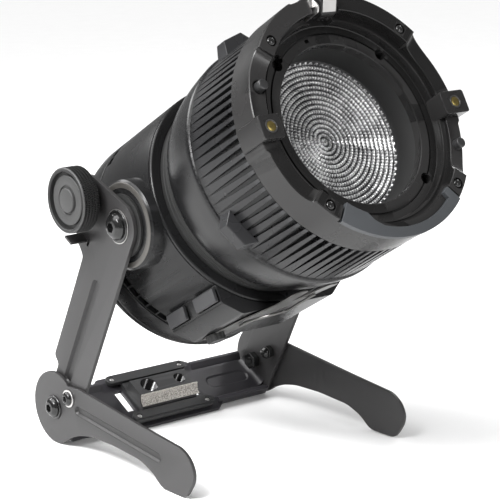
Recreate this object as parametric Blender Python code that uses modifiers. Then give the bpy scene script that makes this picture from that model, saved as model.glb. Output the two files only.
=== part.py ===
"""Compact LED zoom spotlight on a folding floor-stand yoke.

Lengths below are in millimetres and angles in degrees; the helpers turn them into metres.
World frame: +Z up, the beam leaves towards -Y, the tilt axis runs along X.
The origin is the centre of the underside of the yoke's crossbar.
"""

import math

import bmesh
import bpy
from mathutils import Euler, Matrix, Vector

MM = 0.001
GAP = 0.3

# Pose of the three frames at rest
LEAN = 29.4
TILT = 29.8

# Yoke frame: x along the tilt axis, y towards the rear, z up the arms
PIVOT_Z = 200.0
HUB_Z = 16.4
ARM_OUTER_X = 103.2
ARM_SHEET = 3.0
ARM_FRONT_Y = -24.5
ARM_REAR_Y = 25.0
ARM_HEAD_R = 19.5
KNOB_Y = 40.0
KNOB_Z = 197.0
BAR_SHEET = 3.0
BLOCK_HOLES = (("spigot", 7.5, -13.5), ("bolt", 5.2, 18.0))

# Legs, in a frame level with the floor and centred on the hub
HUB_R = 29.0
LEG_SHEET = 3.0
LEG_INNER_X = ARM_OUTER_X + 0.4
LOCK_R = 24.0
LOCK_ANGLE = 31.0
FOLD = 55.0

# Lamp frame: x along the tilt axis, y up, z forwards along the beam
SHELL_R = 88.5
SHELL_BACK = -47.0
SHELL_FRONT = 33.0
TUBE_R = 80.0
RING_BACK = 51.0
RING_CREASE = 94.0
RING_FRONT = 152.0
RING_R = 93.0
BEZEL_FRONT = 174.8
LUG_FRONT = 181.6
LUG_EDGE = 38
LUG_INNER_R = 80.0
COVER_SEAT = 178.0
DECK_R = 78.0
BEZEL_R = 94.5
BORE_R = 61.0
BORE_FRONT = 164.0
LENS_Z = 135.0
SCREW_R = 86.0
PEG_ANGLE = 159.0
BOSS_R = 37.0
BOSS_OUTER_X = 97.6

ROUND = 64
SMALL_ROUND = 20

FINISHES = {
    "housing_black": ((0.035, 0.035, 0.037), 0.42, 0.0),
    "ring_black": ((0.03, 0.03, 0.032), 0.5, 0.0),
    "steel_grey": ((0.16, 0.16, 0.165), 0.45, 0.3),
    "disc_grey": ((0.30, 0.30, 0.30), 0.35, 0.7),
    "fastener_black": ((0.02, 0.02, 0.02), 0.2, 0.6),
    "matt_black": ((0.012, 0.012, 0.012), 0.85, 0.0),
    "rubber": ((0.02, 0.02, 0.02), 0.8, 0.0),
    "gold": ((0.45, 0.36, 0.14), 0.3, 1.0),
    "glass": ((0.8, 0.82, 0.85), 0.05, 0.0),
    "bare_aluminium": ((0.6, 0.6, 0.6), 0.35, 1.0),
    "circuit_green": ((0.02, 0.12, 0.05), 0.5, 0.0),
    "led_yellow": ((0.8, 0.65, 0.1), 0.4, 0.0),
    "grip_grey": ((0.42, 0.40, 0.37), 0.7, 0.2),
    "battery_grey": ((0.12, 0.12, 0.14), 0.6, 0.0),
    "display": ((0.01, 0.02, 0.03), 0.1, 0.0),
}

# Maps a plate's own x, y and thickness onto y, z and x of its frame
SIDE = Matrix(((0, 0, 1, 0), (1, 0, 0, 0), (0, 1, 0, 0), (0, 0, 0, 1)))


def clear_scene():
    for item in list(bpy.data.objects):
        bpy.data.objects.remove(item)
    for name in ("zoom_spotlight", "cutters"):
        collection = bpy.data.collections.new(name)
        bpy.context.scene.collection.children.link(collection)
    return bpy.data.collections["zoom_spotlight"], bpy.data.collections["cutters"]


PARTS, CUTTERS = clear_scene()


def make_finish(name):
    colour, roughness, metallic = FINISHES[name]
    material = bpy.data.materials.new(name)
    material.use_nodes = True
    shader = material.node_tree.nodes["Principled BSDF"]
    shader.inputs["Base Color"].default_value = (*colour, 1.0)
    shader.inputs["Roughness"].default_value = roughness
    shader.inputs["Metallic"].default_value = metallic
    return material


MATERIALS = {name: make_finish(name) for name in FINISHES}


def frame(name, location, angle, parent=None):
    """An empty turned about X; location in the parent's frame."""
    empty = bpy.data.objects.new(name, None)
    empty.location = Vector(location) * MM
    empty.rotation_euler = Euler((math.radians(angle), 0, 0))
    empty.parent = parent
    PARTS.objects.link(empty)
    return empty


def shift(x=0.0, y=0.0, z=0.0):
    return Matrix.Translation(Vector((x, y, z)) * MM)


def place(item, parent, matrix, finish):
    """Put an object in a frame; one without a finish is a cutter or a tool."""
    item.parent = parent
    item.matrix_basis = matrix
    if finish is None:
        item.hide_render = True
        item.display_type = "WIRE"
        CUTTERS.objects.link(item)
    else:
        item.data.materials.append(MATERIALS[finish])
        PARTS.objects.link(item)
    return item


def mesh_object(name, build):
    mesh = bpy.data.meshes.new(name)
    data = bmesh.new()
    build(data)
    bmesh.ops.recalc_face_normals(data, faces=data.faces)
    data.to_mesh(mesh)
    data.free()
    return bpy.data.objects.new(name, mesh)


def smooth(item):
    item.data.shade_smooth()
    item.data.set_sharp_from_angle(angle=math.radians(35))


def box(name, low, high, parent, finish, matrix=Matrix(), bevel=0.0):
    """A box between two corners of its frame."""
    low, high = Vector(low), Vector(high)

    def build(data):
        size = Matrix.Diagonal((*((high - low) * MM), 1.0))
        centre = Matrix.Translation((low + high) / 2 * MM)
        bmesh.ops.create_cube(data, size=1.0, matrix=centre @ size)

    item = place(mesh_object(name, build), parent, matrix, finish)
    if bevel:
        add_bevel(item, bevel)
    return item


def add_bevel(item, width, segments=2):
    bevel = item.modifiers.new("edges", "BEVEL")
    bevel.width = width * MM
    bevel.segments = segments
    bevel.limit_method = "ANGLE"
    bevel.angle_limit = math.radians(50)


def rod(name, radius, low, high, parent, finish, matrix=Matrix(), sides=SMALL_ROUND):
    """A cylinder along its frame's z."""

    def build(data):
        centre = Matrix.Translation((0, 0, (low + high) / 2 * MM))
        bmesh.ops.create_cone(
            data, cap_ends=True, segments=sides, radius1=radius * MM, radius2=radius * MM,
            depth=(high - low) * MM, matrix=centre,
        )

    item = place(mesh_object(name, build), parent, matrix, finish)
    smooth(item)
    return item


def turned(name, profile, parent, finish, matrix=Matrix(), ring=False, steps=ROUND):
    """Turn (radius, height) points about z; the outer side runs top to bottom."""
    mesh = bpy.data.meshes.new(name)
    points = [(radius * MM, 0.0, height * MM) for radius, height in profile]
    edges = [(i, i + 1) for i in range(len(points) - 1)]
    if ring:
        edges.append((len(points) - 1, 0))
    mesh.from_pydata(points, edges, [])
    item = place(bpy.data.objects.new(name, mesh), parent, matrix, finish)
    screw = item.modifiers.new("turn", "SCREW")
    screw.axis = "Z"
    screw.steps = steps
    screw.render_steps = steps
    screw.use_merge_vertices = True
    screw.merge_threshold = 0.00001
    screw.use_smooth_shade = True
    return item


def tube(name, outer, inner, low, high, parent, finish, matrix=Matrix(), steps=ROUND):
    profile = [(outer, high), (outer, low), (inner, low), (inner, high)]
    return turned(name, profile, parent, finish, matrix, ring=True, steps=steps)


def sheet(name, outline, low, high, parent, finish, matrix):
    """A flat outline, thick from low to high along its own z, as one welded mesh."""
    curve = bpy.data.curves.new(name, "CURVE")
    curve.dimensions = "2D"
    curve.fill_mode = "BOTH"
    curve.extrude = (high - low) / 2 * MM
    spline = curve.splines.new("POLY")
    spline.points.add(len(outline) - 1)
    for point, (x, y) in zip(spline.points, outline):
        point.co = (x * MM, y * MM, 0, 1)
    spline.use_cyclic_u = True
    drawn = bpy.data.objects.new(name + "_outline", curve)
    CUTTERS.objects.link(drawn)
    graph = bpy.context.evaluated_depsgraph_get()
    mesh = bpy.data.meshes.new_from_object(drawn.evaluated_get(graph))
    bpy.data.objects.remove(drawn)
    data = bmesh.new()
    data.from_mesh(mesh)
    bmesh.ops.remove_doubles(data, verts=data.verts, dist=0.00001)
    bmesh.ops.recalc_face_normals(data, faces=data.faces)
    data.to_mesh(mesh)
    data.free()
    mesh.name = name
    raise_to = shift(z=(low + high) / 2)
    return place(bpy.data.objects.new(name, mesh), parent, matrix @ raise_to, finish)


def combine(item, other, operation):
    """Boolean with another object, which becomes a hidden tool."""
    boolean = item.modifiers.new(operation.lower(), "BOOLEAN")
    boolean.operation = operation
    boolean.object = other
    boolean.solver = "EXACT"
    return item


def arc(centre_x, centre_y, radius, start, end, count):
    """Points on a round stretch of an outline, from one angle to the other."""
    points = []
    for i in range(count + 1):
        angle = math.radians(start + (end - start) * i / count)
        points.append((centre_x + radius * math.cos(angle), centre_y + radius * math.sin(angle)))
    return points


YOKE = frame("yoke", (0, 0, 0), LEAN)
PIVOT = frame("pivot", (0, 0, PIVOT_Z), 0, YOKE)
LAMP = frame("lamp", (0, 0, 0), 90 - TILT - LEAN, PIVOT)
LEGS = frame("legs", (0, 0, HUB_Z), -LEAN, YOKE)
SIDES = (("left", -1), ("right", 1))


def along_x(sign, y=0.0, z=0.0):
    """Frame matrix whose z points out along X on the given side, centred at y, z."""
    turn = Matrix.Rotation(math.radians(90 * sign), 4, "Y")
    return shift(y=y, z=z) @ turn


def arm_outline():
    """Arm seen along X: y runs to the rear, z up to the pivot."""
    front_top = arc(0, PIVOT_Z, ARM_HEAD_R, 180, 95, 8)
    lobe = arc(KNOB_Y, KNOB_Z, 17.0, 85, -50, 9)
    return [
        (ARM_FRONT_Y, 0), (ARM_FRONT_Y, 60), *front_top, *lobe,
        (46, 168), (40, 157), (ARM_REAR_Y + 2, 150),
        (ARM_REAR_Y, 108), (23, 52), (15, 49), (15, 0),
    ]


def make_yoke_frame():
    """One bent steel sheet: two arms, the crossbar with raised edges and a window."""
    inner = ARM_OUTER_X - ARM_SHEET
    item = box("yoke_frame", (-46, -31, 0), (46, 29, BAR_SHEET), YOKE, "steel_grey")
    section = [
        (-25, 6.5), (-25, 3.5), (-23.2, 3.5), (-19.2, 0), (17.2, 0), (21.2, 3.5), (23, 3.5),
        (23, 6.5), (20, 6.5), (16, 3), (-18, 3), (-22, 6.5),
    ]
    for name, sign in SIDES:
        low, high = sorted((sign * 44, sign * (inner + 1)))
        channel = sheet("channel_" + name, section, low, high, YOKE, None, SIDE)
        combine(item, channel, "UNION")
        low, high = sorted((sign * inner, sign * ARM_OUTER_X))
        arm = sheet("arm_" + name, arm_outline(), low, high, YOKE, None, SIDE)
        combine(item, arm, "UNION")
        low, high = sorted((sign * (inner - 5), sign * (inner + 1)))
        bend = box("bend_" + name, (low, -18, 1), (high, 14, 7.5), YOKE, None)
        add_bevel(bend, 3)
        combine(item, bend, "UNION")
        for hole, radius, y, z in (("pivot", 5.3, 0, PIVOT_Z), ("hub", 4.3, 0, HUB_Z)):
            drill = rod(
                "drill_" + hole + name, radius, 90, 110, YOKE, None, along_x(sign, y, z))
            combine(item, drill, "DIFFERENCE")
        slot = sheet("slot_" + name, lock_slot(), 90, 110, YOKE, None, slot_place(sign))
        combine(item, slot, "DIFFERENCE")
    stud = rod("drill_stud", 5.3, 90, 110, YOKE, None, along_x(-1, KNOB_Y, KNOB_Z))
    combine(item, stud, "DIFFERENCE")
    tab = box("tab", (-ARM_OUTER_X - 15, 25, 163), (-ARM_OUTER_X + 1, 33, 165.5), YOKE, None)
    combine(item, tab, "UNION")
    for name, low, high in (("window_a", -38, -30), ("window_b", 30, 38)):
        combine(item, box(name, (low, -12, -5), (high, 12, 10), YOKE, None), "DIFFERENCE")
    for name, radius, x in BLOCK_HOLES:
        drill = rod("bar_" + name, radius, -5, 25, YOKE, None, shift(x=x))
        combine(item, drill, "DIFFERENCE")
    return item


def slot_place(sign):
    return SIDE if sign > 0 else shift(x=-200) @ SIDE


def lock_slot():
    """Arc slot around the hub that the leg's lock bolt runs in."""
    half = 3.6
    start, end = 90 + LOCK_ANGLE + 9, 90 + LOCK_ANGLE - FOLD - 9
    outside = arc(0, HUB_Z, LOCK_R + half, start, end, 10)
    inside = arc(0, HUB_Z, LOCK_R - half, end, start, 10)
    return outside + inside


def make_crossbar_fittings():
    """Quick-lock rails and the drilled block that take a stand spigot or a bolt."""
    for name, low, high in (("rail_front", -28, -18), ("rail_rear", 17, 26)):
        middle, half = (low + high) / 2, (high - low) / 2
        outline = arc(36, middle, half, -90, 90, 6) + arc(-36, middle, half, 90, 270, 6)
        sheet(name, outline, BAR_SHEET + GAP, BAR_SHEET + 5.5, YOKE, "housing_black", Matrix())
    base = BAR_SHEET + GAP
    section = [
        (-16.8, base), (16.5, base), (16.5, 6.5), (8.5, 6.5), (8.5, 16.5), (-8.5, 16.5),
        *arc(-19.5, 19.5, 11.4, -15, -70, 4), (-16.8, 8.2),
    ]
    block = sheet("mount_block", section, -28, 28, YOKE, "housing_black", SIDE)
    for name, radius, x in BLOCK_HOLES:
        drill = rod("drill_" + name, radius, -5, 25, YOKE, None, shift(x=x))
        combine(block, drill, "DIFFERENCE")
    low = arc(-19.5, 19.5, 11.1, -15, -70, 4)
    high = arc(-19.5, 19.5, 10.1, -70, -15, 4)
    sheet("grip_pad", low + high, -28, 28, YOKE, "grip_grey", SIDE)


def leg_outline():
    """Leg seen along X: y towards the rear, so the leg reaches towards -y."""
    hub = arc(0, 0, HUB_R, 140, -120, 18)
    toe = arc(-163, -10.5, 18.5, -150, -215, 4)
    return [
        *hub, (-30, -16.5), (-50, -12.5), (-80, -12), (-115, -14.5), (-130, -20),
        (-142, -HUB_R), (-171, -HUB_R), *toe, (-167, 7.5), (-40, 21.5),
    ]


def make_legs():
    reach = LOCK_R * math.cos(math.radians(90 - LOCK_ANGLE - LEAN))
    rise = LOCK_R * math.sin(math.radians(90 - LOCK_ANGLE - LEAN))
    outer = LEG_INNER_X + LEG_SHEET
    for name, sign in SIDES:
        low, high = sorted((sign * LEG_INNER_X, sign * outer))
        leg = sheet("leg_" + name, leg_outline(), low, high, LEGS, "steel_grey", SIDE)
        for hole, radius, y, z in (("axle", 4.3, 0, 0), ("lock", 3.3, -reach, rise)):
            drill = rod(
                f"drill_{hole}_{name}", radius, 95, 115, LEGS, None, along_x(sign, y, z))
            combine(leg, drill, "DIFFERENCE")
        inner = ARM_OUTER_X - ARM_SHEET
        make_bolt("hub_bolt_" + name, LEGS, along_x(sign), outer, 8.0, 4.0, inner - 7.5)
        make_nut("hub_nut_" + name, LEGS, along_x(sign), inner, 7.0, 4.0, 7.0)
        lock = along_x(sign, -reach, rise)
        make_bolt("lock_bolt_" + name, LEGS, lock, outer, 5.5, 3.0, inner - 6.5)
        make_cap_nut("lock_nut_" + name, LEGS, lock, inner, 5.5, 3.0)


def make_bolt(name, parent, matrix, seat, flange, shank, end):
    """Button-head screw whose head sits outside the seat, with a hex socket."""
    top = seat + GAP
    profile = [
        (0, top + 2.2), (0.45 * flange, top + 2.2), (0.45 * flange, top + 4.6),
        (0.62 * flange, top + 4.4), (0.82 * flange, top + 3.2), (0.88 * flange, top + 1.4),
        (flange, top + 1.3), (flange, top), (shank, top), (shank, end), (0, end),
    ]
    return turned(name, profile, parent, "fastener_black", matrix, steps=24)


def make_nut(name, parent, matrix, seat, across_half, bore, height):
    """Hexagonal nut inside the arm, on the bolt's shank."""
    top = seat - GAP
    bore = (bore + 0.2) / math.cos(math.radians(30))
    profile = [(across_half, top), (across_half, top - height), (bore, top - height), (bore, top)]
    return turned(name, profile, parent, "fastener_black", matrix, ring=True, steps=6)


def make_cap_nut(name, parent, matrix, seat, across_half, bore):
    """Cap nut: a hexagon with a dome over the shank's end."""
    top = seat - GAP
    bore = bore + 0.3
    profile = [
        (0, top - 8), (bore, top - 8), (bore, top), (across_half, top), (across_half, top - 5),
        (across_half * 0.8, top - 7.5), (0, top - 9.5),
    ]
    return turned(name, profile, parent, "fastener_black", matrix, steps=12)


def make_pivots():
    """Tilt bolts, washers, friction discs and the head's bearing discs."""
    inner = ARM_OUTER_X - ARM_SHEET
    for name, sign in SIDES:
        matrix = along_x(sign)
        make_bolt("pivot_bolt_" + name, PIVOT, matrix, ARM_OUTER_X, 12.5, 5.0, 90)
        tube("friction_disc_" + name, 24, 5.3, BOSS_OUTER_X + GAP, inner - GAP, PIVOT, "rubber",
             matrix, steps=32)
        profile = [
            (5.3, BOSS_OUTER_X), (BOSS_R - 1.5, BOSS_OUTER_X), (BOSS_R, BOSS_OUTER_X - 1.5),
            (BOSS_R, 70), (5.3, 70),
        ]
        disc = turned("tilt_disc_" + name, profile, LAMP, "disc_grey", matrix, ring=True, steps=48)
        core = rod("core_" + name, SHELL_R + GAP, -60, 60, LAMP, None, sides=ROUND)
        combine(disc, core, "DIFFERENCE")


def make_knob():
    """Hand knob on a stud; it pulls a brake shoe against the tilt disc."""
    matrix = along_x(-1, KNOB_Y, KNOB_Z)
    back = ARM_OUTER_X + GAP
    profile = [
        (9.5, 123.4), (9.5, 121.2), (19.5, 121.2), (19.5, 124.2), (23.5, 125), (25, 123.8),
        (25, 111.5), (23.5, 110), (14, 110), (13, back), (4.6, back), (4.6, 120), (0, 120),
    ]
    turned("tilt_knob", [(0, 123.4), *profile], YOKE, "rubber", matrix, steps=40)
    rod("knob_stud", 4.2, 98.2, 119.6, YOKE, "fastener_black", matrix)
    shoe_low, shoe_high = BOSS_OUTER_X + GAP, ARM_OUTER_X - ARM_SHEET - GAP
    outline = arc(KNOB_Y, KNOB_Z, 9, -90, 90, 8) + arc(33, 198.5, 8, 90, 270, 8)
    shoe = sheet("brake_shoe", outline, shoe_low, shoe_high, YOKE, "bare_aluminium",
                 shoe_place())
    drill = rod("drill_shoe", 4.5, 90, 110, YOKE, None, matrix)
    combine(shoe, drill, "DIFFERENCE")


def shoe_place():
    low, high = BOSS_OUTER_X + GAP, ARM_OUTER_X - ARM_SHEET - GAP
    return shift(x=-(low + high)) @ SIDE


def make_housing():
    """Head shell with vent windows, and the rear cover."""
    profile = [
        (SHELL_R - 1, SHELL_FRONT), (SHELL_R, SHELL_FRONT - 1), (SHELL_R, SHELL_BACK),
        (SHELL_R - 3, SHELL_BACK), (SHELL_R - 3, SHELL_FRONT - 5), (TUBE_R + GAP, SHELL_FRONT - 5),
        (TUBE_R + GAP, SHELL_FRONT),
    ]
    shell = turned("head_shell", profile, LAMP, "housing_black", ring=True)
    for centre in (-147, -33, 60, 120):
        for step in range(-2, 3):
            turn = Matrix.Rotation(math.radians(centre + 7 * step), 4, "Z")
            window = box(
                "vent", (80, -4, SHELL_BACK + 2), (95, 4, SHELL_BACK + 8.5), LAMP, None, turn)
            combine(shell, window, "DIFFERENCE")
    back = SHELL_BACK - 2
    profile = [
        (0, back - 26), (SHELL_R - 9, back - 26), (SHELL_R - 3, back - 19), (SHELL_R - 3, back),
        (SHELL_R, back), (SHELL_R, back - 20), (SHELL_R - 3, back - 26), (SHELL_R - 8, back - 29),
        (0, back - 29),
    ]
    cover = turned("rear_cover", profile, LAMP, "housing_black")
    pocket = box("pocket", (-46, -28, -90), (46, 30, -70), LAMP, None)
    combine(cover, pocket, "DIFFERENCE")


def make_controls():
    """Rear panel with display, dial, buttons and the power inlet."""
    front, back = -73.5, -78.5
    panel = box("control_panel", (-45.7, -27.7, back), (45.7, 29.7, front), LAMP, "matt_black")
    holes = [("button_a", -30, -14), ("button_b", -15, -14), ("power_button", 32, -14)]
    for name, x, y in holes:
        drill = rod("drill_" + name, 4.8, -90, -60, LAMP, None, shift(x=x, y=y))
        combine(panel, drill, "DIFFERENCE")
        profile = [(0, front), (4.4, front), (4.4, back - 1.8), (3.8, back - 2.4), (0, back - 2.4)]
        turned(name, profile, LAMP, "rubber", shift(x=x, y=y), steps=16)
    box("display_window", (-36, 2, back - 1.2), (2, 24, back - GAP), LAMP, "display", bevel=0.4)
    profile = [
        (3, front), (3, back - 1), (9, back - 1), (9, back - 10), (8, back - 11), (0, back - 11),
    ]
    drill = rod("drill_dial", 3.3, -90, -60, LAMP, None, shift(x=24, y=11))
    combine(panel, drill, "DIFFERENCE")
    turned("menu_dial", [(0, front), *profile], LAMP, "rubber", shift(x=24, y=11), steps=24)
    profile = [
        (0, back - GAP), (8.5, back - GAP), (8.5, back - 6), (6, back - 6), (6, back - 2),
        (0, back - 2),
    ]
    turned("power_inlet", profile, LAMP, "fastener_black", shift(x=9, y=-15), steps=20)


def make_optics():
    """Guide tube, lens with its cell, and the matt cone in front of it."""
    tube("guide_tube", TUBE_R, TUBE_R - 3, 2, RING_FRONT, LAMP, "matt_black")
    tube("lens_cell", TUBE_R - 3 - GAP, BORE_R - 2, LENS_Z - 6, LENS_Z - 3, LAMP, "matt_black")
    dome = []
    for i in range(7):
        radius = BORE_R * i / 6
        dome.append((radius, LENS_Z + 9 * (1 - (radius / BORE_R) ** 2)))
    turned("lens", [*dome, (BORE_R, LENS_Z - 2.7), (0, LENS_Z - 2.7)], LAMP, "glass")
    cone = [
        (BORE_R + 2.5, BORE_FRONT - 3), (BORE_R + 2.5, LENS_Z + 2), (BORE_R + 0.5, LENS_Z + 2),
        (BORE_R + 0.5, BORE_FRONT - 3),
    ]
    turned("baffle_cone", cone, LAMP, "matt_black", ring=True)


def make_light_engine():
    """Carriage that the zoom ring drives along two rods, with LED and heat sink."""
    plate = rod("carriage", 70, 20, 24, LAMP, "bare_aluminium", sides=48)
    for name, sign in SIDES:
        matrix = shift(x=sign * 60)
        combine(plate, rod("bore_" + name, 4.4, 0, 40, LAMP, None, matrix), "DIFFERENCE")
        rod("guide_rod_" + name, 4, -30, 125, LAMP, "bare_aluminium", matrix)
    box("led_module", (-22, -22, 24 + GAP), (22, 22, 31), LAMP, "led_yellow", bevel=1.0)
    sink = box("heat_sink", (-38, -38, 12), (38, 38, 20 - GAP), LAMP, "bare_aluminium")
    for i in range(8):
        x = -36 + i * 10.0
        fin = box(f"fin_{i}", (x, -38, -18), (x + 2, 38, 13), LAMP, None)
        combine(sink, fin, "UNION")
    box("battery_pack", (-42, -60, -68), (42, -24, -24), LAMP, "battery_grey", bevel=3)
    box("driver_board", (-40, 30, -66), (40, 32, -26), LAMP, "circuit_green")


def ring_sector(low_r, high_r, start, end, count=10):
    return arc(0, 0, high_r, start, end, count) + arc(0, 0, low_r, end, start, count)


def make_zoom_ring():
    """Rotating zoom ring and its two finger tabs."""
    bore = TUBE_R + 1
    profile = [
        (RING_R, RING_FRONT - GAP), (RING_R + 0.5, RING_CREASE), (RING_R - 4, RING_BACK + 14),
        (RING_R - 7, RING_BACK + 4), (RING_R - 9.5, RING_BACK), (bore, RING_BACK),
        (bore, RING_FRONT - GAP),
    ]
    turned("zoom_ring", profile, LAMP, "ring_black", ring=True)
    for number, centre in ((1, -150), (2, 107)):
        outline = ring_sector(RING_R + 0.8, RING_R + 8, centre - 6, centre + 6, 5)
        tab = sheet(f"zoom_tab_{number}", outline, 98, 112, LAMP, "ring_black", Matrix())
        add_bevel(tab, 1.2)


def make_bezel():
    """Fixed front ring with two raised arcs, its inner deck, pegs, contacts and cover plate."""
    back = RING_FRONT + GAP
    face = BEZEL_FRONT
    profile = [
        (BEZEL_R - 1, face), (BEZEL_R, face - 1), (BEZEL_R, back), (DECK_R, back), (DECK_R, face),
    ]
    bezel = turned("bezel_ring", profile, LAMP, "housing_black", ring=True)
    arcs = (
        (LUG_EDGE, 180 - LUG_EDGE, LUG_FRONT), (180 + LUG_EDGE, 232, LUG_FRONT),
        (232, 309, COVER_SEAT), (309, 360 - LUG_EDGE, LUG_FRONT),
    )
    for start, end, top in arcs:
        count = round((end - start) / 6)
        outline = ring_sector(LUG_INNER_R, BEZEL_R - 0.2, start, end, count)
        lug = sheet(f"lug_{start}", outline, face - 6, top, LAMP, None, Matrix())
        combine(bezel, lug, "UNION")
    notch = box("latch_notch", (-11, 71, face - 6), (9, 99, LUG_FRONT + 4), LAMP, None)
    combine(bezel, notch, "DIFFERENCE")
    outline = ring_sector(DECK_R + 1, BEZEL_R - 0.5, -127, -52, 14)
    sheet("retaining_plate", outline, COVER_SEAT + GAP, LUG_FRONT, LAMP, "steel_grey", Matrix())
    for name, angle in (("left", 180), ("right", 0)):
        turn = Matrix.Rotation(math.radians(angle), 4, "Z")
        block = box("block_" + name, (79, -9.4, face - 8), (98, 9.4, LUG_FRONT), LAMP, None, turn)
        combine(bezel, block, "UNION")
        rod("contact_" + name, 4.2, LUG_FRONT + GAP, LUG_FRONT + 1.3, LAMP, "gold",
            turn @ shift(x=87), sides=20)
        turn = Matrix.Rotation(math.radians(PEG_ANGLE + 180 - angle), 4, "Z")
        rod("guide_peg_" + name, 3.6, face + GAP, face + 6.3, LAMP, "fastener_black",
            turn @ shift(x=-SCREW_R), sides=18)
    make_front_deck(back)


def make_front_deck(back):
    """Stepped inner ring that closes the front around the lens bore."""
    deck = BORE_FRONT
    edge = DECK_R - GAP
    profile = [
        (edge, deck + 4), (edge, back), (BORE_R + 3, back), (BORE_R + 3, deck - 2.5),
        (BORE_R, deck - 2.5), (BORE_R, deck), (73.5, deck), (73.5, deck + 4),
    ]
    ring = turned("front_deck", profile, LAMP, "housing_black", ring=True)
    for angle in (45, 135, 225, 315):
        matrix = Matrix.Rotation(math.radians(angle), 4, "Z") @ shift(x=68.5)
        drill = rod(f"drill_{angle}", 3.2, deck - 6, deck + 6, LAMP, None, matrix, sides=14)
        combine(ring, drill, "DIFFERENCE")


def make_latch():
    """Sprung latch at the top of the front ring; it lifts to free an accessory."""
    face = COVER_SEAT
    section = [(72, face - 8), (97, face - 8), (97, face + 11), (80, face + 12), (75, face + 8)]
    block = sheet("front_latch", section, -8.5, 8, LAMP, "housing_black", SIDE)
    add_bevel(block, 1.5)


def make_underside():
    """Accessory bracket under the shell, its pads, thumb screw and spring clip."""
    section = [(-60, -60), (-60, -79), (-44, -90.5), (44, -90.5), (60, -79), (60, -60)]
    bracket = sheet("under_bracket", section, -38, 30, LAMP, "housing_black", Matrix())
    core = rod("bracket_core", SHELL_R + GAP, -60, 60, LAMP, None, sides=ROUND)
    combine(bracket, core, "DIFFERENCE")
    box("side_pad_front", (-63.5, -77, 4), (-60.3, -67, 30), LAMP, "rubber", bevel=0.8)
    box("side_pad_rear", (-63.5, -76, -35), (-60.3, -67, -11), LAMP, "rubber", bevel=0.8)
    turn = shift(x=-36, z=-20) @ Matrix.Rotation(math.radians(90), 4, "X")
    profile = [(0, 97), (6.5, 97), (7.5, 96), (7.5, 90.8), (0, 90.8)]
    turned("thumb_screw", profile, LAMP, "rubber", turn, steps=20)
    outline = [
        (-30, 0), (-12, 0), (-6, 30), (4, 58), (10, 83), (2, 85), (-8, 62), (-14, 46),
        (-18, 78), (-26, 76), (-24, 40), (-34, 22),
    ]
    slope = shift(y=-90.8) @ Matrix.Rotation(math.radians(91), 4, "X")
    sheet("spring_clip", outline, 0, 1.2, LAMP, "bare_aluminium", slope)


def main():
    make_yoke_frame()
    make_crossbar_fittings()
    make_legs()
    make_pivots()
    make_knob()
    make_housing()
    make_controls()
    make_optics()
    make_light_engine()
    make_zoom_ring()
    make_bezel()
    make_latch()
    make_underside()


main()
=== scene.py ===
"""Looks of a compact LED zoom spotlight on a folding floor-stand yoke.

Lengths below are in millimetres and angles in degrees, as in the CAD source.
Three frames are used: YOKE (z up the arms), LAMP (z along the beam) and LEGS (level).
"""

import math

import bmesh
import bpy
from mathutils import Matrix, Vector


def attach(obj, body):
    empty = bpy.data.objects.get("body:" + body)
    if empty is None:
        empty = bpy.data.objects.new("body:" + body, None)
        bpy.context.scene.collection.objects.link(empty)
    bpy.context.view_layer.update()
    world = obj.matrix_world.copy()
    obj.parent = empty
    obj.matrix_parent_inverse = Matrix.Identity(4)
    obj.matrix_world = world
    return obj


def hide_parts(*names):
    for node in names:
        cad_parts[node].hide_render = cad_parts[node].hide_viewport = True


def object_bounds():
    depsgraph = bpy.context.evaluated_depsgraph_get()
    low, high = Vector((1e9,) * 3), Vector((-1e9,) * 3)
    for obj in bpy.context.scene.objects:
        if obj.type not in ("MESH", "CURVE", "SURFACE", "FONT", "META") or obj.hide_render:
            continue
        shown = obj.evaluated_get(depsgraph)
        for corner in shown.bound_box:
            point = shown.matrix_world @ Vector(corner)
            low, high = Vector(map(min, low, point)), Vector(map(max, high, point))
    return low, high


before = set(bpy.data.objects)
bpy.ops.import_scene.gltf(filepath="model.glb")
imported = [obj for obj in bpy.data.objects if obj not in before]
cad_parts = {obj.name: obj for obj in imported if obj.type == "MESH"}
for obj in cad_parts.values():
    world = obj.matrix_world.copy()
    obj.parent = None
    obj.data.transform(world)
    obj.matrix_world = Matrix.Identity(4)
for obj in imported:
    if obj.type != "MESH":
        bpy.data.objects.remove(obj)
CAD_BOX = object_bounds()

MM = 0.001
LEAN = 29.4
TILT = 29.8
PIVOT_Z = 200.0
HUB_Z = 16.4
ARM_OUTER_X = 103.2
ARM_SHEET = 3.0
KNOB_Y = 40.0
KNOB_Z = 197.0
LEG_INNER_X = 103.6
LEG_SHEET = 3.0
HUB_R = 29.0
LOCK_R = 24.0
LOCK_ANGLE = 31.0

SHELL_R = 88.5
TUBE_R = 80.0
RING_FRONT = 151.9
RING_R = 92.6
FLUTES = 84
BEZEL_BACK = 152.4
LOW_FACE = 174.8
HIGH_FACE = 181.6
BEZEL_R = 93.5
DECK = 165.0
BORE_R = 61.0
LENS_Z = 135.0
RING_PITCH = 3.6
SCREW_R = 86.0
LUG_EDGE = 38.0
SCOOP = 13.0
COVER_BACK = -78.0

ROUND = 160
SCREW_ANGLES = (45, 135, 225, 315)
STAND_HOLES = ((-13.5, 7.6), (18, 5.3))
FLOOR_GAP = 0.0002


def shift(x=0.0, y=0.0, z=0.0):
    return Matrix.Translation(Vector((x, y, z)) * MM)


def turn(angle, axis):
    return Matrix.Rotation(math.radians(angle), 4, axis)


YOKE = turn(LEAN, "X")
PIVOT = YOKE @ shift(z=PIVOT_Z)
LAMP = PIVOT @ turn(90 - TILT - LEAN, "X")
LEGS = YOKE @ shift(z=HUB_Z) @ turn(-LEAN, "X")
SIDE = Matrix(((0, 0, 1, 0), (1, 0, 0, 0), (0, 1, 0, 0), (0, 0, 0, 1)))


# ---------------------------------------------------------------- materials

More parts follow.
